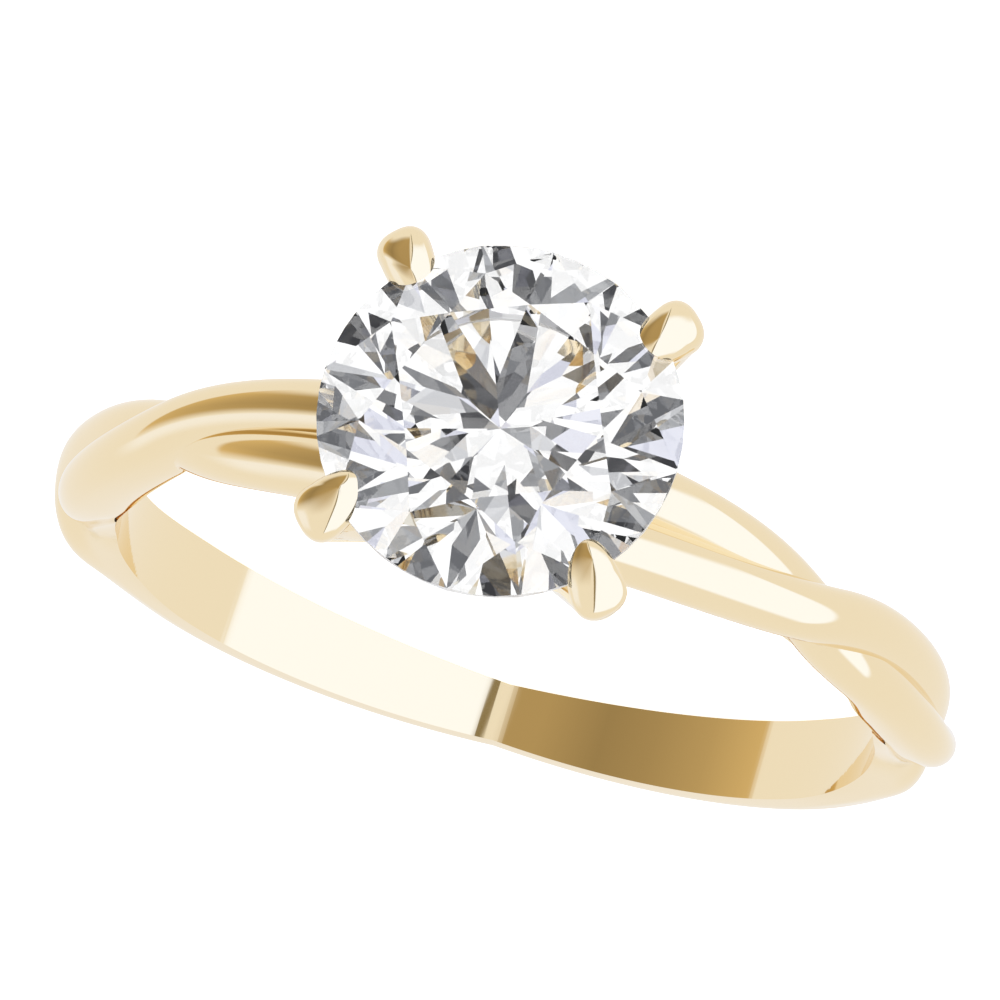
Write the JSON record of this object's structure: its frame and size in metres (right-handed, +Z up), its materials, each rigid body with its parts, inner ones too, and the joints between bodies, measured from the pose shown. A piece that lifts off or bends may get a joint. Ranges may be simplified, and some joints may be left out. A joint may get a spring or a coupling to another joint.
{
  "type": "twisted shank ring",
  "caption": "Solitaire finger ring: a round stone in a claw head, on a shank of two strands that twist round each other at the shoulders and join into one plain band.",
  "frame": {"origin": "on the surface that the ring lies on, under the middle of the whole ring", "axes": "+Z up from that surface, nearly along the finger; -Y to the front, toward the stone; X across the finger hole"},
  "size_m": [0.0198, 0.024, 0.0065],
  "materials": {
    "gold": "polished pale yellow gold",
    "stone": "cut and polished, colourless"
  },
  "bodies": {
    "root": {"ring_mounting": "gold", "stone": "stone"}
  },
  "joints": []
}
